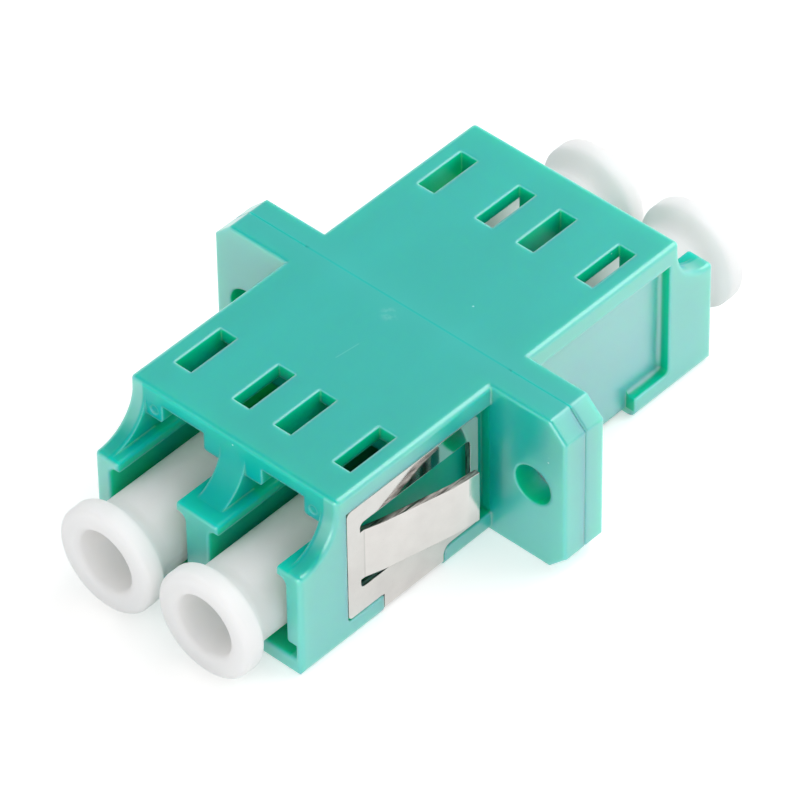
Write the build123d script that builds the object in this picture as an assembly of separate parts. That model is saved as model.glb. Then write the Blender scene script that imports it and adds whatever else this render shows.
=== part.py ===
from build123d import *
import math
import os

# Duplex fibre adapter with two side-by-side ports, made of two welded plastic
# halves, two alignment sleeves, one spring clip and four dust caps.
# Frame: X across the two ports, Y along the fibres, Z up. The origin is on the
# weld seam, midway between the ports, on the flat underside. All in millimetres.

# Interface sizes
port_pitch = 6.25
plug_passage = 4.72
axis_height = 3.30
ferrule_dia = 1.25
hole_pitch = 18.0
hole_dia = 2.2

# Body of each half, with reaches measured from the weld seam
side_wall = 0.965
body_height = 9.2
mouth_reach = 14.3
plate_reach = 11.8
plate_thickness = 0.78
plate_nose = 0.65
horn_land = 0.15
outer_round = 0.25
bottom_round = 0.50
corner_round = 0.20
mouth_round = 0.15

# Latch features above each port
rail_thickness = 0.54
rail_gap = 3.62
rail_corner = 0.38
shoulder_drop = 1.02
window_width = 1.05
window_near = 6.73
window_far = 9.83
gallery_reach = 5.2
web_setback = 0.9
shoulder_round = 0.15

# Inside of each port
web_reach = 1.6
barrel_dia = 2.8
barrel_reach = 3.8
barrel_lip = 0.45
lip_dia = 1.36
lead_in = 0.20
floor_corner = 0.15
notch_width = 0.55
notch_height = 0.82
notch_length = 1.6
notch_round = 0.20

# Flange
ear_end = 2.0
front_flange = 1.40
rear_flange = 1.26
flange_chamfer = 1.0
flange_round = 0.15
seam_bevel = 0.06

# Pocket for the spring clip
pocket_depth = 0.60
pocket_reach = 11.2
pocket_margin = 1.1
pocket_round = 0.30
lip_height = 1.20
lip_round = 0.45
strap_near = 4.6
strap_far = 8.8
strap_recess = 0.38

# Spring clip
sheet = 0.30
clip_inset = 0.05
clip_gap = 0.05
clip_play = 0.10
bend_radius = 0.12
clip_corner = 0.30
clip_tail = 2.25
border_front = 0.86
border_rear = 0.55
clip_arm = 1.20
clip_leg = 1.48
slit_width = 0.54
tongue_knee = 9.0
tongue_knee_lift = 0.32
tongue_bow = 5.2
tongue_bow_lift = 1.22
tongue_end = 3.70
tongue_end_lift = 1.40

# Alignment sleeve
sleeve_wall = 0.185
sleeve_play = 0.04
sleeve_end_play = 0.06
sleeve_slit = 0.18

# Dust cap
cap_play = 0.18
cap_stand = 3.0
cap_length = 9.3
cap_head_dia = 5.75
cap_head_thickness = 1.20
cap_head_round = 0.32
cap_flare = 0.90
cap_tip_chamfer = 0.30
cap_bore_dia = 3.30
cap_bore_end_dia = 2.60
cap_bore_depth = 8.0
cap_bore_round = 0.30

# Moulding mark on the outer shoulders
mark_dia = 0.50
mark_depth = 0.08

# How far a cut runs past the material, and how closely an edge's place is matched
overshoot = 1.0
tiny = 1e-6

# Sizes worked out from the ones above
body_width = port_pitch + plug_passage + 2 * side_wall
half_width = body_width / 2
half_passage = plug_passage / 2
half_gap = rail_gap / 2
port_centre = port_pitch / 2
floor_top = axis_height - half_passage
rail_bottom = axis_height + half_passage
rail_top = rail_bottom + rail_thickness
horn_rise = body_height - plate_nose - rail_top
horn_run = mouth_reach - plate_reach - horn_land
plate_bottom = body_height - plate_thickness
shoulder_bottom = plate_bottom - shoulder_drop
window_inner = half_passage - window_width
flange_width = hole_pitch + 2 * ear_end
pocket_floor = half_width - pocket_depth
pocket_top = body_height - pocket_margin
sleeve_dia = ferrule_dia + 2 * sleeve_wall
holder_dia = sleeve_dia + 2 * sleeve_play
holder_reach = barrel_reach - barrel_lip
sleeve_reach = holder_reach - sleeve_end_play


def block(x_range, y_range, z_range):
    """Box between pairs of coordinates."""
    (x0, x1), (y0, y1), (z0, z1) = x_range, y_range, z_range
    centre = ((x0 + x1) / 2, (y0 + y1) / 2, (z0 + z1) / 2)
    return Pos(*centre) * Box(x1 - x0, y1 - y0, z1 - z0)


def rod_along_y(x, z, dia, y_range):
    """Cylinder along the fibre direction."""
    y0, y1 = y_range
    turned = Rot(90, 0, 0) * Cylinder(dia / 2, y1 - y0)
    return Pos(x, (y0 + y1) / 2, z) * turned


def slab_along_x(outline, width):
    """Extrude a closed side-view outline, given in Y and Z, both ways along X."""
    return extrude(Plane.YZ * make_face(outline), width / 2, both=True)


def side_outline():
    """Side view of one half: full height to the plate, then a hollow horn down to the rails."""
    horn_y = -plate_reach - horn_run
    horn_z = rail_top + horn_rise
    points = {
        "seam_bottom": (0, 0),
        "mouth_bottom": (-mouth_reach, 0),
        "mouth_top": (-mouth_reach, rail_top),
        "horn_foot": (horn_y, rail_top),
        "horn_head": (-plate_reach, horn_z),
        "plate_front": (-plate_reach, body_height),
        "seam_top": (0, body_height),
    }
    lines = [
        Line(points["seam_bottom"], points["mouth_bottom"]),
        Line(points["mouth_bottom"], points["mouth_top"]),
        Line(points["mouth_top"], points["horn_foot"]),
        TangentArc(points["horn_foot"], points["horn_head"], tangent=(1, 0)),
        Line(points["horn_head"], points["plate_front"]),
        Line(points["plate_front"], points["seam_top"]),
        Line(points["seam_top"], points["seam_bottom"]),
    ]
    return lines


def on_side_faces(edge):
    """True for an edge that lies in a side face and isn't on the seam."""
    box = edge.bounding_box()
    flat = abs(box.max.X - box.min.X) < tiny
    outside = abs(abs(box.max.X) - half_width) < tiny
    off_seam = box.min.Y < -tiny
    return flat and outside and off_seam


def across_x_at(y, z):
    """Test for an edge that runs along X at one place of the side view."""
    def test(edge):
        centre = edge.center()
        along_x = edge.bounding_box().size.X > half_width
        return along_x and abs(centre.Y - y) < tiny and abs(centre.Z - z) < tiny
    return test


def body_shell():
    """Outer form of one half, before its ports and pockets are cut."""
    shell = slab_along_x(side_outline(), body_width)
    for y, z in ((-mouth_reach, 0), (-mouth_reach, rail_top), (-plate_reach, body_height)):
        shell = fillet(shell.edges().filter_by(across_x_at(y, z)), corner_round)
    shell = fillet(shell.edges().filter_by(on_side_faces), outer_round)
    front_view = Pos(0, body_height / 2) * Rectangle(body_width, body_height)
    front_view = fillet(front_view.vertices().group_by(Axis.Y)[0], bottom_round)
    return shell & extrude(Plane.XZ * front_view, mouth_reach)


def flange_plate(thickness):
    """Flange with two bevelled ears and a screw hole in each."""
    outline = Pos(0, body_height / 2) * Rectangle(flange_width, body_height)
    outline = chamfer(outline.vertices(), flange_chamfer)
    plate = extrude(Plane.XZ * outline, thickness)
    plate = fillet(plate.faces().sort_by(Axis.Y)[0].edges(), flange_round)
    plate = chamfer(plate.faces().sort_by(Axis.Y)[-1].edges(), seam_bevel)
    for side in (-1, 1):
        hole_x = side * hole_pitch / 2
        hole_y = (-thickness - overshoot, overshoot)
        plate -= rod_along_y(hole_x, body_height / 2, hole_dia, hole_y)
    return plate


def side_rectangle(y_range, z_range):
    """Rectangle of the side view."""
    centre = Pos(sum(y_range) / 2, sum(z_range) / 2)
    return centre * Rectangle(y_range[1] - y_range[0], z_range[1] - z_range[0])


def vertices_at(shape, y, z):
    """Vertices of a side view at one place."""
    return shape.vertices().filter_by(lambda v: abs(v.X - y) + abs(v.Y - z) < tiny)


def clip_pocket(flange_face):
    """Recess on both sides and underneath that takes the spring clip."""
    upper = side_rectangle((-pocket_reach, -flange_face), (lip_height, pocket_top))
    lower = side_rectangle((-strap_far, -strap_near), (-overshoot, pocket_top))
    outline = upper + lower
    outline = fillet(vertices_at(outline, -strap_near, lip_height), lip_round)
    outline = fillet(vertices_at(outline, -pocket_reach, lip_height), clip_corner)
    recess = extrude(Plane.YZ.offset(pocket_floor) * outline, half_width)
    end_edges = recess.edges().filter_by(Axis.Z).group_by(Axis.Y)[0]
    recess = fillet(end_edges.sort_by(Axis.X)[0], pocket_round)
    strap_z = (-overshoot, strap_recess)
    under = block((-half_width, half_width), (-strap_far, -strap_near), strap_z)
    return recess + mirror(recess, about=Plane.YZ) + under


def port_cut(x, outer_side):
    """Everything that is open in one port of one half. outer_side is -1 or 1."""
    beyond = mouth_reach + overshoot
    passage = Rectangle(plug_passage, plug_passage)
    upper = passage.vertices().group_by(Axis.Y)[-1]
    passage = fillet(upper, rail_corner)
    lower = passage.vertices().group_by(Axis.Y)[0]
    passage = fillet(lower, floor_corner)
    lane = Plane(origin=(x, -web_reach, axis_height), x_dir=(1, 0, 0), z_dir=(0, -1, 0))
    cut = extrude(lane * passage, beyond - web_reach)
    throat = (x - half_gap, x + half_gap)
    wide = (x - half_passage, x + half_passage)
    between = (x - window_inner, x + window_inner)
    cut += block(throat, (-beyond, -gallery_reach), (axis_height, shoulder_bottom))
    cut += block(wide, (-beyond, -gallery_reach), (rail_top, shoulder_bottom))
    cut += block(wide, (-beyond, -plate_reach), (rail_top, body_height + overshoot))
    cut += block(between, (-beyond, -gallery_reach), (rail_top, plate_bottom))
    cut += block(wide, (-window_far, -gallery_reach), (rail_top, plate_bottom))
    for side in (-1, 1):
        window = sorted((x + side * window_inner, x + side * half_passage))
        cut += block(window, (-window_far, -window_near), (rail_top, body_height + overshoot))
    notch = sorted((x, x + outer_side * (half_passage + notch_width)))
    notch_y = (-beyond, -mouth_reach + notch_length)
    cut += block(notch, notch_y, (floor_top, floor_top + notch_height))
    return cut


def web_trim():
    """Cuts the web between the ports back in a hollow curve above the centre shelf."""
    rise = plate_bottom - rail_top
    run = mouth_reach - web_setback - plate_reach
    radius = (rise ** 2 + run ** 2) / (2 * run)
    width = port_pitch - plug_passage
    round_cut = Rot(0, 90, 0) * Cylinder(radius, width)
    round_cut = Pos(0, -plate_reach - radius, plate_bottom) * round_cut
    above = (rail_top, plate_bottom)
    return round_cut & block((-width, width), (-mouth_reach, -plate_reach), above)


def sleeve_barrel(x):
    """Tube at the root of a port that guides the ferrule and holds one end of the sleeve."""
    tube = rod_along_y(x, axis_height, barrel_dia, (-barrel_reach, -web_reach))
    front = tube.faces().sort_by(Axis.Y)[0]
    return chamfer(front.edges(), lead_in)


def sleeve_bore(x):
    """Bore for the sleeve with a narrower lip at its mouth, which opens outwards as a cone."""
    holder = rod_along_y(x, axis_height, holder_dia, (-holder_reach, overshoot))
    lip_middle = Pos(x, -barrel_reach + barrel_lip / 2, axis_height)
    cone = Cone(lip_dia / 2, lip_dia / 2 + lead_in, barrel_lip)
    return holder + lip_middle * Rot(90, 0, 0) * cone


def moulding_marks():
    """Shallow round marks on the front of the outer shoulders."""
    cut = Part()
    mark_z = (shoulder_bottom + plate_bottom) / 2
    mark_x = port_centre + (window_inner + half_passage) / 2
    for side in (-1, 1):
        y_range = (-plate_reach - overshoot, -plate_reach + mark_depth)
        cut += rod_along_y(side * mark_x, mark_z, mark_dia, y_range)
    return cut


def mouth_edges(shape):
    """Sharp edges of the ports in the mouth face."""
    def inner(edge):
        box = edge.bounding_box()
        in_face = abs(box.min.Y + mouth_reach) + abs(box.max.Y + mouth_reach) < tiny
        inside = max(-box.min.X, box.max.X) < half_width - outer_round - tiny
        between = box.max.Z > bottom_round and box.min.Z < rail_top - corner_round - tiny
        return in_face and inside and between
    return shape.edges().filter_by(inner)


def long_edges(shape, x_distances, z):
    """Edges along Y near the mouth, at some distances from the middle plane and one height."""
    def wanted(edge):
        box = edge.bounding_box()
        along_y = box.size.Y > shoulder_round and max(box.size.X, box.size.Z) < tiny
        at_x = min(abs(abs(box.min.X) - x) for x in x_distances) < tiny
        return along_y and at_x and abs(box.min.Z - z) < tiny
    return shape.edges().filter_by(wanted)


def housing_half(flange_thickness):
    """One moulded half, with its mouth towards -Y and its seam at Y = 0."""
    half = body_shell() - clip_pocket(flange_thickness)
    half += flange_plate(flange_thickness)
    for side in (-1, 1):
        half -= port_cut(side * port_centre, side)
    half -= web_trim()
    shoulder_sides = (port_centre - window_inner, port_centre + window_inner)
    half = fillet(long_edges(half, shoulder_sides, shoulder_bottom), shoulder_round)
    notch_side = (port_centre + half_passage,)
    half = fillet(long_edges(half, notch_side, floor_top + notch_height), notch_round)
    half = fillet(mouth_edges(half), mouth_round)
    for side in (-1, 1):
        half += sleeve_barrel(side * port_centre)
        half -= sleeve_bore(side * port_centre)
    half -= moulding_marks()
    return half


def alignment_sleeve(x):
    """Thin ceramic tube with one slit along it."""
    y_range = (-sleeve_reach, sleeve_reach)
    tube = rod_along_y(x, axis_height, sleeve_dia, y_range)
    through = (-sleeve_reach - overshoot, sleeve_reach + overshoot)
    tube -= rod_along_y(x, axis_height, ferrule_dia, through)
    slit_x = (x - sleeve_slit / 2, x + sleeve_slit / 2)
    slit_z = (axis_height, axis_height + sleeve_dia)
    return tube - block(slit_x, through, slit_z)


def clip_leg_outline(y_range, z_range, strap_y, strap_z):
    """Side view of one leg of the clip, with the part that goes down between the lips."""
    leg = side_rectangle(y_range, z_range)
    leg = fillet(leg.vertices(), clip_corner)
    leg += side_rectangle(strap_y, strap_z)
    return fillet(vertices_at(leg, strap_y[1], z_range[0]), lip_round + clip_gap)


def spring_clip():
    """One folded sheet: two windowed legs joined under the body, each with a flared tongue."""
    outer = half_width - clip_inset
    inner = outer - sheet
    leg_y = (-pocket_reach + clip_play, -clip_tail)
    leg_z = (lip_height + clip_gap, pocket_top - clip_play)
    window_y = (leg_y[0] + border_front, leg_y[1] - border_rear)
    window_z = (leg_z[0] + clip_leg, leg_z[1] - clip_arm)
    tongue_z = (window_z[0] + slit_width, window_z[1] - slit_width)
    strap_y = (-strap_far + clip_play, -strap_near - clip_gap)
    bend_top = strap_recess + bend_radius

    side = clip_leg_outline(leg_y, leg_z, strap_y, (bend_top, window_z[0]))
    side -= fillet(side_rectangle(window_y, window_z).vertices(), slit_width / 2)
    leg = extrude(Plane.YZ.offset(inner) * side, sheet)

    # The tongue starts in the plane of the leg, flares outwards and levels off at its tip
    root = window_y[0] - slit_width
    bend = window_y[0] + slit_width / 2
    path = [
        (outer, root),
        (outer, bend),
        (outer + tongue_knee_lift, -tongue_knee),
        (outer + tongue_bow_lift, -tongue_bow),
        (outer + tongue_end_lift, -tongue_end),
    ]
    back = [(x - sheet, y) for x, y in reversed(path)]
    band = make_face(Polyline(*path, *back, close=True))
    leg += Pos(0, 0, tongue_z[0]) * extrude(band, tongue_z[1] - tongue_z[0])

    # The strap under the body, with a round bend at each side
    bend_x = inner - bend_radius
    outer_radius = bend_radius + sheet
    strap_bottom = strap_recess - sheet
    inner_mid = bend_radius * math.sqrt(0.5)
    outer_mid = outer_radius * math.sqrt(0.5)
    outline = [
        Line((0, strap_recess), (bend_x, strap_recess)),
        ThreePointArc(
            (bend_x, strap_recess),
            (bend_x + inner_mid, bend_top - inner_mid),
            (inner, bend_top),
        ),
        Line((inner, bend_top), (outer, bend_top)),
        ThreePointArc(
            (outer, bend_top),
            (bend_x + outer_mid, bend_top - outer_mid),
            (bend_x, strap_bottom),
        ),
        Line((bend_x, strap_bottom), (0, strap_bottom)),
        Line((0, strap_bottom), (0, strap_recess)),
    ]
    strap_plane = Plane(origin=(0, strap_y[1], 0), x_dir=(1, 0, 0), z_dir=(0, -1, 0))
    strap = extrude(strap_plane * make_face(outline), strap_y[1] - strap_y[0])
    right = leg + strap
    return right + mirror(right, about=Plane.YZ)


def arc_point(centre, radius, turn):
    """Point on a circle, turn in degrees from +X."""
    angle = math.radians(turn)
    return (centre[0] + radius * math.cos(angle), centre[1] + radius * math.sin(angle))


def dust_cap():
    """Turned profile of one cap, its axis on Y, its head towards -Y."""
    stem_r = half_passage - cap_play
    head_r = cap_head_dia / 2
    bore_r = cap_bore_dia / 2
    edge = cap_head_round
    lip = cap_bore_round
    face = -mouth_reach - cap_stand
    tip = face + cap_length
    head_back = face + cap_head_thickness
    flare_start = head_back + cap_flare
    bottom = face + cap_bore_depth
    back_round = (head_r - edge, head_back - edge)
    front_round = (head_r - edge, face + edge)
    bore_lip = (bore_r + lip, face + lip)
    flare_end = arc_point(back_round, edge, 45)
    outline = [
        Line((0, tip), (stem_r - cap_tip_chamfer, tip)),
        Line((stem_r - cap_tip_chamfer, tip), (stem_r, tip - cap_tip_chamfer)),
        Line((stem_r, tip - cap_tip_chamfer), (stem_r, flare_start)),
        Spline((stem_r, flare_start), flare_end, tangents=((0, -1), (1, -1))),
        ThreePointArc(flare_end, arc_point(back_round, edge, 22.5), arc_point(back_round, edge, 0)),
        Line(arc_point(back_round, edge, 0), arc_point(front_round, edge, 0)),
        ThreePointArc(
            arc_point(front_round, edge, 0),
            arc_point(front_round, edge, -45),
            arc_point(front_round, edge, -90),
        ),
        Line(arc_point(front_round, edge, -90), arc_point(bore_lip, lip, -90)),
        ThreePointArc(
            arc_point(bore_lip, lip, -90),
            arc_point(bore_lip, lip, -135),
            arc_point(bore_lip, lip, 180),
        ),
        Line(arc_point(bore_lip, lip, 180), (cap_bore_end_dia / 2, bottom)),
        Line((cap_bore_end_dia / 2, bottom), (0, bottom)),
        Line((0, bottom), (0, tip)),
    ]
    return revolve(make_face(outline), Axis.Y)


def save(shape, name):
    """Write one node."""
    export_step(shape, f"parts/{name}.step")


os.makedirs("parts", exist_ok=True)

save(housing_half(front_flange), "front_housing")
save(Rot(0, 0, 180) * housing_half(rear_flange), "rear_housing")
save(spring_clip(), "panel_clip")
for place, side in (("left", -1), ("right", 1)):
    centre_x = side * port_centre
    save(alignment_sleeve(centre_x), f"alignment_sleeve_{place}")
    save(Pos(centre_x, 0, axis_height) * dust_cap(), f"dust_cap_front_{place}")
    save(Pos(centre_x, 0, axis_height) * Rot(0, 0, 180) * dust_cap(), f"dust_cap_rear_{place}")
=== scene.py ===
"""Materials, light, floor and camera for the LC fibre adapter; its shapes are the CAD solids."""

import math

import bpy
from mathutils import Matrix, Vector

MM = 0.001

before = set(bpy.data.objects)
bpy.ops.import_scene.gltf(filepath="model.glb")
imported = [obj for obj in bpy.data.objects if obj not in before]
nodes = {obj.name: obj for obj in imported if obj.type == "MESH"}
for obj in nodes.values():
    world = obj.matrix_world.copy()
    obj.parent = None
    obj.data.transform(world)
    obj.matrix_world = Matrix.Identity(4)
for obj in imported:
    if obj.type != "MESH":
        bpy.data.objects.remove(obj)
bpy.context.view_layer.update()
scene = bpy.context.scene

# Camera of the photograph, in the part's frame and in mm
CAMERA_AT = (163.189, -175.515, 228.246)
CAMERA_RIGHT = (0.738566, 0.674081, -0.011647)
CAMERA_UP = (-0.455055, 0.511185, 0.729119)
CAMERA_LENS = 316.12
CAMERA_SENSOR = 36.0
CAMERA_CLIP = (10.0, 10000.0)

# Sizes of the part that the materials follow, in mm from its origin
HALF_WIDTH = 6.45
TOP = 9.2
MOUTH_REACH = 14.3
PLATE_REACH = 11.8
HORN_FOOT = 6.0
FLANGE_FACE = 1.26
EAR_END = 11.0
HOLE_AT = (9.0, 4.6)
HOLE_RADIUS = 1.1
POCKET_FLOOR = 5.85
POCKET_FOOT = 0.4
POCKET_REACH = 11.2
POCKET_TOP = 8.1

# The weld seam on the top face, in mm: its height range, the reach across of its flat part, and
# half the widths of the seam, its groove and the painted light that lifts the groove's shade on
# the ears
SEAM_HEIGHT = (9.05, 9.5)
SEAM_REACH = 9.8
SEAM_HALF = 0.16
GROOVE_HALF = 0.04
GROOVE_LIGHT_HALF = 0.06

# The clip's pressed bend line, along which shade is painted, and its tongue's tip, in mm
BEND_LINE = ((6.0, 7.2), (-10.00, -9.96), (3.3, 6.2))
TIP_ALONG = (-4.35, -3.65)
TIP_ACROSS = (6.9, 7.0)

# Marks on the top face, as (x, y) in mm: a fine worn scratch from and to, and a pale blotch
SCRATCH = ((-0.17, -4.74), (0.0, -3.23))
SCRATCH_WIDTH = 0.05
BLOTCH = (-0.30, -0.85)
BLOTCH_RADIUS = 0.6

# Colours; a pair holds the two ends of a mottled colour
AQUA = ((0.0005, 0.520, 0.455), (0.001, 0.560, 0.495))
# Painted shade: deeper, greener aqua for the hollows, in place of the shade and green bounce light
# in them
AQUA_PAINTED_HOLLOW_SHADE = (0.0003, 0.560, 0.370)
# Painted sheen: pale aqua for the rear recess floors, in place of the bright light they reflect
AQUA_PAINTED_SHEEN = (0.50, 0.86, 0.84)
# Painted highlight: pale aqua for the rounded edges
AQUA_PAINTED_EDGE_HIGHLIGHT = (0.300, 0.800, 0.730)
AQUA_PALE_MARK = (0.45, 0.88, 0.84)
# Painted light: paler aqua that lifts the shade in the seam's groove on the ears
AQUA_PAINTED_GROOVE_LIGHT = (0.010, 0.800, 0.700)
DUST = (0.60, 0.90, 0.86)
MILK = ((0.990, 0.952, 0.914), (0.998, 0.964, 0.930))
# Painted shade: a darker, warmer white for the caps' rounded edges
MILK_PAINTED_EDGE_SHADE = (0.950, 0.915, 0.885)
STEEL = ((0.590, 0.560, 0.540), (0.650, 0.622, 0.600))
# Painted reflection: dark steel for the edges, in place of the dark surroundings they reflect
STEEL_EDGE_DARK_REFLECTION = (0.30, 0.29, 0.28)
# Painted shade: dark steel along the bend line
STEEL_PAINTED_BEND_SHADE = (0.25, 0.24, 0.23)
# Painted reflection: the cut faces' steel is darkened for the dark surroundings they reflect;
# their torn mottling is the steel's own
STEEL_CUT_DARK_REFLECTION = ((0.09, 0.085, 0.08), (0.45, 0.43, 0.41))
CERAMIC = ((0.86, 0.85, 0.82), (0.92, 0.91, 0.89))
FLOOR = (0.82, 0.82, 0.82)
WHITE = (1.0, 1.0, 1.0)

# Side of the floor, in metres
FLOOR_SIDE = 4.0

# Places of a Mix node's two inputs and its output, by data type
MIX_SOCKETS = {"FLOAT": (2, 3, 0), "VECTOR": (4, 5, 1), "RGBA": (6, 7, 2)}


def map_range(tree, value, from_range, to_range):
    """Value mapped from one (low, high) pair to another, with its ends held."""
    made = tree.nodes.new("ShaderNodeMapRange")
    for name, number in zip(("From Min", "From Max"), from_range):
        made.inputs[name].default_value = number
    for name, number in zip(("To Min", "To Max"), to_range):
        made.inputs[name].default_value = number
    tree.links.new(value, made.inputs["Value"])
    return made.outputs["Result"]


def mix_node(tree, data_type, factor, first, second):
    """Mix of two values, each a socket, a number or a colour."""
    made = tree.nodes.new("ShaderNodeMix")
    made.data_type = data_type
    tree.links.new(factor, made.inputs[0])
    first_in, second_in, mixed = MIX_SOCKETS[data_type]
    for value, target in ((first, made.inputs[first_in]), (second, made.inputs[second_in])):
        if isinstance(value, bpy.types.NodeSocket):
            tree.links.new(value, target)
        else:
            target.default_value = (*value, 1.0) if isinstance(value, tuple) else value
    return made.outputs[mixed]


class Graph:
    """A material's node tree, with short calls for its nodes."""

    def __init__(self, name):
        self.material = bpy.data.materials.new(name)
        self.material.use_nodes = True
        self.tree = self.material.node_tree
        self.shader = self.tree.nodes["Principled BSDF"]
        self.place = self.node("ShaderNodeTexCoord").outputs["Object"]

    def node(self, kind, **values):
        made = self.tree.nodes.new(kind)
        for key, value in values.items():
            setattr(made, key, value)
        return made

    def join(self, source, target):
        self.tree.links.new(source, target)

    def put(self, name, value):
        """Give the shader a plain value, or a socket to read it from."""
        target = self.shader.inputs[name]
        if isinstance(value, bpy.types.NodeSocket):
            self.join(value, target)
        else:
            target.default_value = value

    # Numbers, masks and colours

    def math(self, operation, first, second=0.0):
        made = self.node("ShaderNodeMath", operation=operation)
        for value, target in ((first, made.inputs[0]), (second, made.inputs[1])):
            if isinstance(value, float):
                target.default_value = value
            else:
                self.join(value, target)
        return made.outputs[0]

    def all_of(self, first, *others):
        """Product of masks: 1 only where each of them is 1."""
        for mask in others:
            first = self.math("MULTIPLY", first, mask)
        return first

    def length(self, first, second):
        """Length of a flat vector from its two parts."""
        squares = [self.math("MULTIPLY", part, part) for part in (first, second)]
        return self.math("SQRT", self.math("ADD", *squares))

    def spread(self, value, low, high, out_low, out_high):
        """Value from low to high mapped to out_low to out_high, with its ends held."""
        return map_range(self.tree, value, (low, high), (out_low, out_high))

    def level(self, mask, at_none, at_full):
        """A number that goes from at_none to at_full as a mask goes from 0 to 1."""
        return self.spread(mask, 0.0, 1.0, at_none, at_full)

    def opposite(self, mask):
        """1 where a mask is 0, and 0 where it is 1."""
        return self.level(mask, 1.0, 0.0)

    def mix(self, factor, first, second):
        """Colour between first and second, each a colour or a socket."""
        return mix_node(self.tree, "RGBA", factor, first, second)

    # Places on the part

    def along(self, axis):
        """Object coordinate along X, Y or Z, in metres."""
        parts = self.node("ShaderNodeSeparateXYZ")
        self.join(self.place, parts.inputs[0])
        return parts.outputs[axis]

    def off_middle(self, axis):
        """Distance from the object's middle plane along an axis, in metres."""
        return self.math("ABSOLUTE", self.along(axis))

    def from_place(self, centre):
        """Object coordinates X and Y, measured from an (x, y) place in mm."""
        return [self.math("SUBTRACT", self.along(axis), at * MM) for axis, at in zip("XY", centre)]

    def rise(self, at, low, high):
        """0 up to low and 1 from high, both in mm."""
        return self.spread(at, low * MM, high * MM, 0.0, 1.0)

    def fall(self, at, low, high):
        """1 up to low and 0 from high, both in mm."""
        return self.spread(at, low * MM, high * MM, 1.0, 0.0)

    def within(self, axis, low, high, soft):
        """1 between low and high along an axis, fading over soft on both sides, in mm."""
        at = self.along(axis)
        return self.all_of(self.rise(at, low - soft, low), self.fall(at, high, high + soft))

    def box(self, ranges, soft):
        """1 inside a box of (low, high) pairs for X, Y and Z, in mm."""
        return self.all_of(*(self.within(axis, *pair, soft) for axis, pair in zip("XYZ", ranges)))

    def facing(self, axis):
        """How far the surface faces along an object axis, either way, from 0 to 1."""
        parts = self.node("ShaderNodeSeparateXYZ")
        self.join(self.node("ShaderNodeTexCoord").outputs["Normal"], parts.inputs[0])
        return self.math("ABSOLUTE", parts.outputs[axis])

    # Textures

    def scaled_place(self, scale):
        """Object coordinates times a scale for each axis."""
        mapping = self.node("ShaderNodeMapping")
        mapping.inputs["Scale"].default_value = scale
        self.join(self.place, mapping.inputs["Vector"])
        return mapping.outputs["Vector"]

    def noise(self, size, detail=3.0, stretch=(1, 1, 1)):
        """Noise whose features are about size metres across."""
        made = self.node("ShaderNodeTexNoise")
        made.inputs["Scale"].default_value = 1.0
        made.inputs["Detail"].default_value = detail
        scale = [s / size for s in stretch]
        self.join(self.scaled_place(scale), made.inputs["Vector"])
        return made.outputs["Fac"]

    def mottled(self, texture, low, high, colours):
        """Colour between two colours as a texture goes from low to high."""
        return self.mix(self.spread(texture, low, high, 0.0, 1.0), *colours)

    def specks(self, size, share):
        """1 on small round specks, one to a cell of size metres, in a share of the cells."""
        made = self.node("ShaderNodeTexVoronoi")
        made.inputs["Scale"].default_value = 1.0
        self.join(self.scaled_place([1 / size] * 3), made.inputs["Vector"])
        near = self.spread(made.outputs["Distance"], 0.03, 0.06, 1.0, 0.0)
        picked = self.node("ShaderNodeSeparateColor")
        self.join(made.outputs["Color"], picked.inputs[0])
        chosen = self.spread(picked.outputs[0], share, share + 0.01, 1.0, 0.0)
        return self.all_of(near, chosen)

    # Normals

    def edges(self, radius):
        """1 on edges within a radius, 0 on flat faces, and the normal that rounds them."""
        rounded = self.node("ShaderNodeBevel", samples=8)
        rounded.inputs["Radius"].default_value = radius
        plain = self.node("ShaderNodeNewGeometry")
        dot = self.node("ShaderNodeVectorMath", operation="DOT_PRODUCT")
        self.join(rounded.outputs["Normal"], dot.inputs[0])
        self.join(plain.outputs["Normal"], dot.inputs[1])
        found = self.spread(dot.outputs["Value"], 0.75, 0.995, 1.0, 0.0)
        return found, rounded.outputs["Normal"]

    def facing_up(self, factor, normal):
        """The normal, turned to the object's Z where factor is 1."""
        turn = self.node("ShaderNodeVectorTransform", vector_type="NORMAL")
        turn.convert_from, turn.convert_to = "OBJECT", "WORLD"
        turn.inputs[0].default_value = (0, 0, 1)
        return mix_node(self.tree, "VECTOR", factor, normal, turn.outputs[0])

    def bump(self, height, distance, strength, normal=None):
        made = self.node("ShaderNodeBump")
        made.inputs["Strength"].default_value = strength
        made.inputs["Distance"].default_value = distance
        self.join(height, made.inputs["Height"])
        if normal is not None:
            self.join(normal, made.inputs["Normal"])
        return made.outputs["Normal"]


def pocket_faces(g):
    """1 in the clip's pockets in front, and on the walls round the recesses behind the flange."""
    out = g.off_middle("Y")
    front = g.fall(g.along("Y"), -0.5, 0.5)
    wall = g.spread(g.facing("X"), 0.5, 0.8, 1.0, 0.0)
    return g.all_of(
        g.fall(g.off_middle("X"), HALF_WIDTH - 0.15, HALF_WIDTH - 0.07),
        g.rise(out, FLANGE_FACE + 0.01, FLANGE_FACE + 0.07),
        g.fall(out, POCKET_REACH + 0.02, POCKET_REACH + 0.10),
        g.within("Z", POCKET_FOOT, POCKET_TOP - 0.02, 0.05),
        g.math("MAXIMUM", front, wall),
    )


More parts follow.
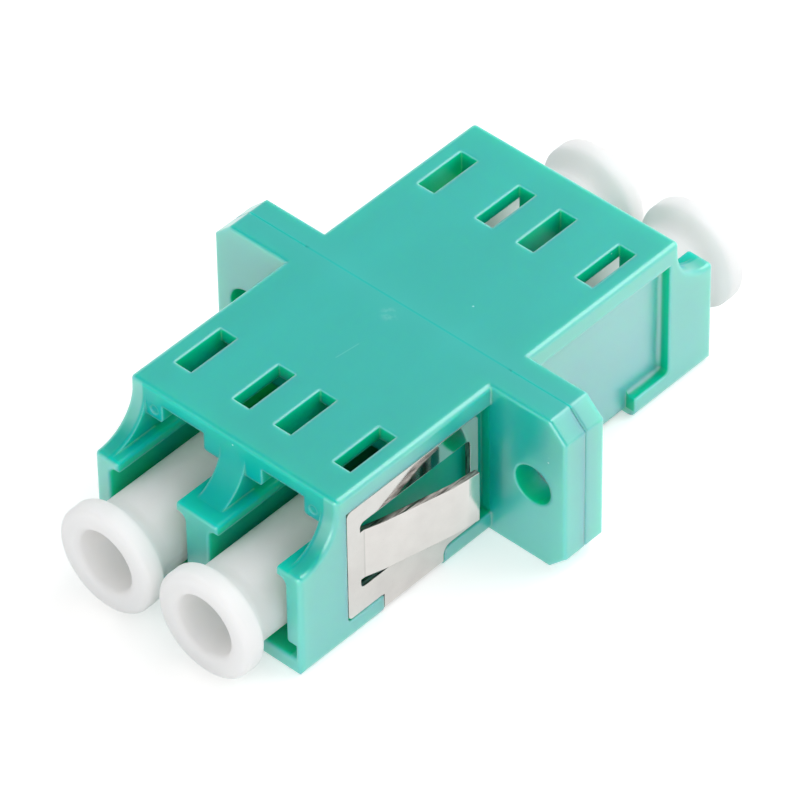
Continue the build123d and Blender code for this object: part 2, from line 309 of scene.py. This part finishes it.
def outer_faces(g):
    """1 on the polished outside and in the pockets, 0 in ports, slots and screw holes."""
    across, up = g.off_middle("X"), g.along("Z")
    sides = g.rise(across, POCKET_FLOOR - 0.25, POCKET_FLOOR - 0.13)
    ends = g.rise(g.off_middle("Y"), MOUTH_REACH - 0.10, MOUTH_REACH - 0.02)
    top = g.rise(up, TOP - 0.12, TOP - 0.02)
    hole_x = g.math("SUBTRACT", across, HOLE_AT[0] * MM)
    hole_z = g.math("SUBTRACT", up, HOLE_AT[1] * MM)
    clear = g.rise(g.length(hole_x, hole_z), HOLE_RADIUS, HOLE_RADIUS + 0.06)
    return g.all_of(g.math("MAXIMUM", g.math("MAXIMUM", sides, ends), top), clear)


def horn_faces(g):
    """1 on the horns and the edge of the top plate over the two mouths."""
    return g.all_of(
        g.rise(g.off_middle("Y"), PLATE_REACH - 0.5, PLATE_REACH - 0.1),
        g.rise(g.along("Z"), HORN_FOOT - 0.1, HORN_FOOT + 0.1),
    )


def rear_recess(g):
    """1 on the floors of the two side recesses behind the flange, which get a painted pale sheen.
    """
    return g.all_of(
        g.fall(g.off_middle("X"), POCKET_FLOOR + 0.10, POCKET_FLOOR + 0.20),
        g.within("Y", FLANGE_FACE + 0.14, POCKET_REACH - 0.1, 0.1),
        g.within("Z", POCKET_FOOT + 0.1, POCKET_TOP - 0.1, 0.1),
    )


def top_face(g):
    """1 on the top face and just below it."""
    return g.rise(g.along("Z"), TOP - 0.15, TOP - 0.05)


def seam_line(g, reach, half, soft):
    """1 along the weld seam of the top face, out to a reach and a half width, in mm."""
    return g.box(((-reach, reach), (-half, half), SEAM_HEIGHT), soft)


def scratch(g):
    """1 on a fine scratch on the top face."""
    start, end = SCRATCH
    run = Vector(end) - Vector(start)
    length = run.length
    run.normalize()
    from_x, from_y = g.from_place(start)
    on = g.math("ADD", g.math("MULTIPLY", from_x, run.x), g.math("MULTIPLY", from_y, run.y))
    off = g.math("SUBTRACT", g.math("MULTIPLY", from_x, run.y), g.math("MULTIPLY", from_y, run.x))
    near = g.fall(g.math("ABSOLUTE", off), 0.0, SCRATCH_WIDTH)
    return g.all_of(near, top_face(g), g.rise(on, 0.0, 0.1), g.fall(on, length - 0.1, length))


def blotch(g):
    """1 at a pale place on the top face, fading out round it."""
    away = g.length(*g.from_place(BLOTCH))
    return g.all_of(g.fall(away, 0.3 * BLOTCH_RADIUS, BLOTCH_RADIUS), top_face(g))


def painted_groove_light(g):
    """1 in the seam's groove along the tops of the ears, where a paler colour is painted to lift
    the groove's shade.
    """
    return g.all_of(
        g.rise(g.off_middle("X"), HALF_WIDTH - 0.05, HALF_WIDTH + 0.05),
        g.within("Y", -GROOVE_LIGHT_HALF, GROOVE_LIGHT_HALF, 0.02),
        g.within("Z", TOP - 0.08, SEAM_HEIGHT[1], 0.02),
    )


def aqua_plastic():
    """Satin aqua moulding that light sinks into, with flow marks, fine grain and dust; painted
    shade in its hollows, painted highlights on its edges, a painted sheen on the rear recess
    floors and painted light in the seam's groove.
    """
    g = Graph("aqua_plastic")
    flow = g.noise(5 * MM, detail=4.0, stretch=(1.0, 0.4, 1.0))
    grain = g.noise(0.09 * MM, detail=2.0)
    blotch_noise = g.noise(0.35 * MM)
    out_of_pockets = g.opposite(pocket_faces(g))
    outer = g.all_of(outer_faces(g), out_of_pockets)
    seam = seam_line(g, SEAM_REACH, SEAM_HALF, 0.10)
    found, rounded = g.edges(0.22 * MM)
    edge = g.all_of(found, g.opposite(seam), out_of_pockets)

    skin = g.mottled(flow, 0.35, 0.65, AQUA)
    # Painted sheen on the rear recess floors
    sheened = g.mix(g.level(rear_recess(g), 0.0, 0.25), skin, AQUA_PAINTED_SHEEN)
    # Painted shade: away from the outside and the horns, the ports, slots, holes and clip pockets
    # take a deeper green
    body = g.mix(g.math("MAXIMUM", outer, horn_faces(g)), AQUA_PAINTED_HOLLOW_SHADE, sheened)
    # Painted highlight on the rounded edges, kept off the seam and the pockets
    edge_highlighted = g.mix(g.level(edge, 0.0, 0.50), body, AQUA_PAINTED_EDGE_HIGHLIGHT)
    scraped = g.mix(g.level(scratch(g), 0.0, 0.30), edge_highlighted, AQUA_PALE_MARK)
    blotched = g.all_of(g.spread(blotch_noise, 0.45, 0.60, 0.0, 0.25), blotch(g))
    marked = g.mix(blotched, scraped, AQUA_PALE_MARK)
    # Painted light in the seam's groove on the ears, lifting its shade
    groove_lit = g.mix(painted_groove_light(g), marked, AQUA_PAINTED_GROOVE_LIGHT)
    g.put("Base Color", g.mix(g.specks(1.1 * MM, 0.06), groove_lit, DUST))

    g.put("Roughness", g.spread(grain, 0.3, 0.7, 0.30, 0.40))
    g.put("Specular IOR Level", 0.2)
    waves = g.bump(flow, 0.020 * MM, 0.35, g.facing_up(seam, rounded))
    g.put("Normal", g.bump(grain, 0.003 * MM, 0.5, waves))

    # Light doesn't cross from one half of the housing to the other, so none sinks in at the seam
    fused = g.all_of(g.within("Y", -0.2, 0.2, 1.3), g.rise(g.along("Z"), TOP - 0.2, TOP - 0.1))
    g.put("Subsurface Weight", g.opposite(fused))
    g.put("Subsurface Radius", (0.1, 1.0, 0.5))
    g.put("Subsurface Scale", 2.0 * MM)

    groove = seam_line(g, EAR_END, GROOVE_HALF, 0.03)
    gloss = g.all_of(outer, g.level(groove, 1.0, 0.4))
    g.put("Coat Weight", g.level(gloss, 0.1, 1.0))
    g.put("Coat IOR", 2.3)
    g.put("Coat Roughness", g.level(edge, 0.28, 0.50))
    g.put("Coat Normal", waves)
    return g.material


def milky_plastic():
    """Soft milky white plastic of the dust caps, with faint turning and flow marks, and painted
    shade on its rounded edges.
    """
    g = Graph("milky_plastic")
    cloud = g.noise(2.5 * MM)
    grain = g.noise(0.12 * MM, detail=2.0)
    turned = g.noise(0.6 * MM, detail=1.0, stretch=(1.0, 0.15, 1.0))
    edge, rounded = g.edges(0.15 * MM)
    body = g.mottled(cloud, 0.35, 0.65, MILK)
    # Painted shade on the rounded edges
    g.put("Base Color", g.mix(g.level(edge, 0.0, 0.5), body, MILK_PAINTED_EDGE_SHADE))
    g.put("Roughness", g.spread(grain, 0.3, 0.7, 0.42, 0.54))
    waves = g.bump(turned, 0.010 * MM, 0.3, rounded)
    g.put("Normal", g.bump(grain, 0.004 * MM, 0.5, waves))
    g.put("Subsurface Weight", 1.0)
    g.put("Subsurface Radius", (1.0, 0.98, 0.92))
    g.put("Subsurface Scale", 3.0 * MM)
    g.put("Subsurface Anisotropy", 0.8)
    g.put("Sheen Weight", 0.5)
    g.put("Sheen Roughness", 0.8)
    return g.material


def spring_steel():
    """Bright rolled spring steel, with rolling lines along Z and rougher sheared edges; painted
    dark reflections on its edges and cut faces, and painted shade along the bend.
    """
    g = Graph("spring_steel")
    smudge = g.noise(1.6 * MM, detail=4.0)
    lines = g.noise(0.05 * MM, detail=2.0, stretch=(1.0, 1.0, 0.04))
    tear = g.noise(0.12 * MM, stretch=(1.0, 0.15, 0.15))
    edge, rounded = g.edges(0.05 * MM)
    cut = g.spread(g.facing("X"), 0.45, 0.75, 1.0, 0.0)
    bend = g.box(BEND_LINE, 0.04)
    tip = g.all_of(g.fall(g.along("Y"), *TIP_ALONG), g.rise(g.along("X"), *TIP_ACROSS))

    sheet = g.mottled(smudge, 0.3, 0.7, STEEL)
    # Painted dark reflection on the edges
    edge_darkened = g.mix(g.level(edge, 0.0, 0.5), sheet, STEEL_EDGE_DARK_REFLECTION)
    # Painted shade along the bend
    bend_shaded = g.mix(g.level(bend, 0.0, 0.25), edge_darkened, STEEL_PAINTED_BEND_SHADE)
    # The cut faces are painted dark for the reflection in them, and mottled as torn steel
    torn_dark_reflection = g.mottled(tear, 0.35, 0.65, STEEL_CUT_DARK_REFLECTION)
    g.put("Base Color", g.mix(cut, bend_shaded, torn_dark_reflection))
    smooth = g.spread(smudge, 0.3, 0.7, 0.06, 0.11)
    g.put("Roughness", g.math("ADD", smooth, g.level(cut, 0.0, 0.30)))
    pressed = g.bump(tip, 0.05 * MM, 1.0, rounded)
    g.put("Normal", g.bump(lines, 0.0010 * MM, 0.30, pressed))
    g.put("Metallic", 1.0)
    return g.material


def white_ceramic():
    """Polished white ceramic with fine grinding lines round it."""
    g = Graph("white_ceramic")
    tint = g.noise(0.8 * MM)
    lines = g.noise(0.05 * MM, detail=1.0, stretch=(0.1, 1.0, 0.1))
    g.put("Base Color", g.mottled(tint, 0.3, 0.7, CERAMIC))
    g.put("Roughness", g.spread(lines, 0.3, 0.7, 0.08, 0.16))
    g.put("Normal", g.bump(lines, 0.001 * MM, 0.4))
    g.put("Coat Weight", 0.5)
    return g.material


def seen_directly(tree):
    """1 for rays from the camera, from reflections and through clear materials, 0 for the rest."""
    path = tree.nodes.new("ShaderNodeLightPath")
    largest = path.outputs["Is Camera Ray"]
    for name in ("Is Glossy Ray", "Is Transmission Ray"):
        step = tree.nodes.new("ShaderNodeMath")
        step.operation = "MAXIMUM"
        tree.links.new(largest, step.inputs[0])
        tree.links.new(path.outputs[name], step.inputs[1])
        largest = step.outputs[0]
    return largest


def white_floor(glow):
    """Pale floor that keeps a soft shadow; its glow only lifts what the camera and gloss see."""
    material = bpy.data.materials.new("studio_floor")
    material.use_nodes = True
    tree = material.node_tree
    shader = tree.nodes["Principled BSDF"]
    shader.inputs["Base Color"].default_value = (*FLOOR, 1.0)
    shader.inputs["Roughness"].default_value = 0.9
    shader.inputs["Specular IOR Level"].default_value = 0.0
    shader.inputs["Emission Color"].default_value = (*WHITE, 1.0)
    strength = map_range(tree, seen_directly(tree), (0.0, 1.0), (0.0, glow))
    tree.links.new(strength, shader.inputs["Emission Strength"])
    return material


def studio_floor(glow):
    """Square floor under the object."""
    half = FLOOR_SIDE / 2
    mesh = bpy.data.meshes.new("floor")
    corners = [(-half, -half, 0), (half, -half, 0), (half, half, 0), (-half, half, 0)]
    mesh.from_pydata(corners, [], [(0, 1, 2, 3)])
    floor = bpy.data.objects.new("floor", mesh)
    scene.collection.objects.link(floor)
    mesh.materials.append(white_floor(glow))


def studio_world(ambient, zenith):
    """Seen white round the horizon and dimmer overhead; its light on the object is even."""
    world = bpy.data.worlds.new("studio_world")
    world.use_nodes = True
    scene.world = world
    tree = world.node_tree
    background = tree.nodes["Background"]
    direction = tree.nodes.new("ShaderNodeTexCoord")
    parts = tree.nodes.new("ShaderNodeSeparateXYZ")
    tree.links.new(direction.outputs["Generated"], parts.inputs[0])
    shade = map_range(tree, parts.outputs["Z"], (0.25, 0.75), (1.0, zenith))
    strength = mix_node(tree, "FLOAT", seen_directly(tree), ambient, shade)
    background.inputs["Color"].default_value = (*WHITE, 1.0)
    tree.links.new(strength, background.inputs["Strength"])


def soft_light(name, azimuth, elevation, distance, size, strength):
    """Square area light aimed at the object; azimuth 0 is the -Y side, 90 the +X side."""
    light = bpy.data.lights.new(name, "AREA")
    light.shape = "SQUARE"
    light.size = size
    light.energy = strength * distance ** 2 * math.pi
    turn, rise = math.radians(azimuth), math.radians(elevation)
    flat = math.cos(rise)
    towards = Vector((math.sin(turn) * flat, -math.cos(turn) * flat, math.sin(rise)))
    lamp = bpy.data.objects.new(name, light)
    lamp.location = towards * distance
    lamp.rotation_euler = towards.to_track_quat("Z", "Y").to_euler()
    scene.collection.objects.link(lamp)


def photo_camera():
    """Camera at the photograph's place, angle and lens."""
    camera = bpy.data.cameras.new("photo_camera")
    camera.sensor_fit = "HORIZONTAL"
    camera.sensor_width = CAMERA_SENSOR
    camera.lens = CAMERA_LENS
    camera.clip_start, camera.clip_end = (distance * MM for distance in CAMERA_CLIP)
    right, up = Vector(CAMERA_RIGHT), Vector(CAMERA_UP)
    back = right.cross(up)
    turn = Matrix((right, up, back)).transposed().to_4x4()
    seat = bpy.data.objects.new("photo_camera", camera)
    seat.matrix_world = Matrix.Translation(Vector(CAMERA_AT) * MM) @ turn
    scene.collection.objects.link(seat)
    scene.camera = seat


def dress(names, material):
    """Give CAD nodes a material."""
    for name in names:
        node = nodes[name]
        node.data.materials.clear()
        node.data.materials.append(material)


caps = [name for name in nodes if name.startswith("dust_cap")]
sleeves = [name for name in nodes if name.startswith("alignment_sleeve")]
dress(["front_housing", "rear_housing"], aqua_plastic())
dress(caps, milky_plastic())
dress(["panel_clip"], spring_steel())
dress(sleeves, white_ceramic())

studio_floor(glow=0.46)
studio_world(ambient=0.50, zenith=0.06)
soft_light("key", azimuth=155, elevation=52, distance=0.15, size=0.15, strength=2.2)
soft_light("fill", azimuth=20, elevation=20, distance=0.30, size=0.25, strength=1.25)
photo_camera()

scene.view_settings.view_transform = "Standard"
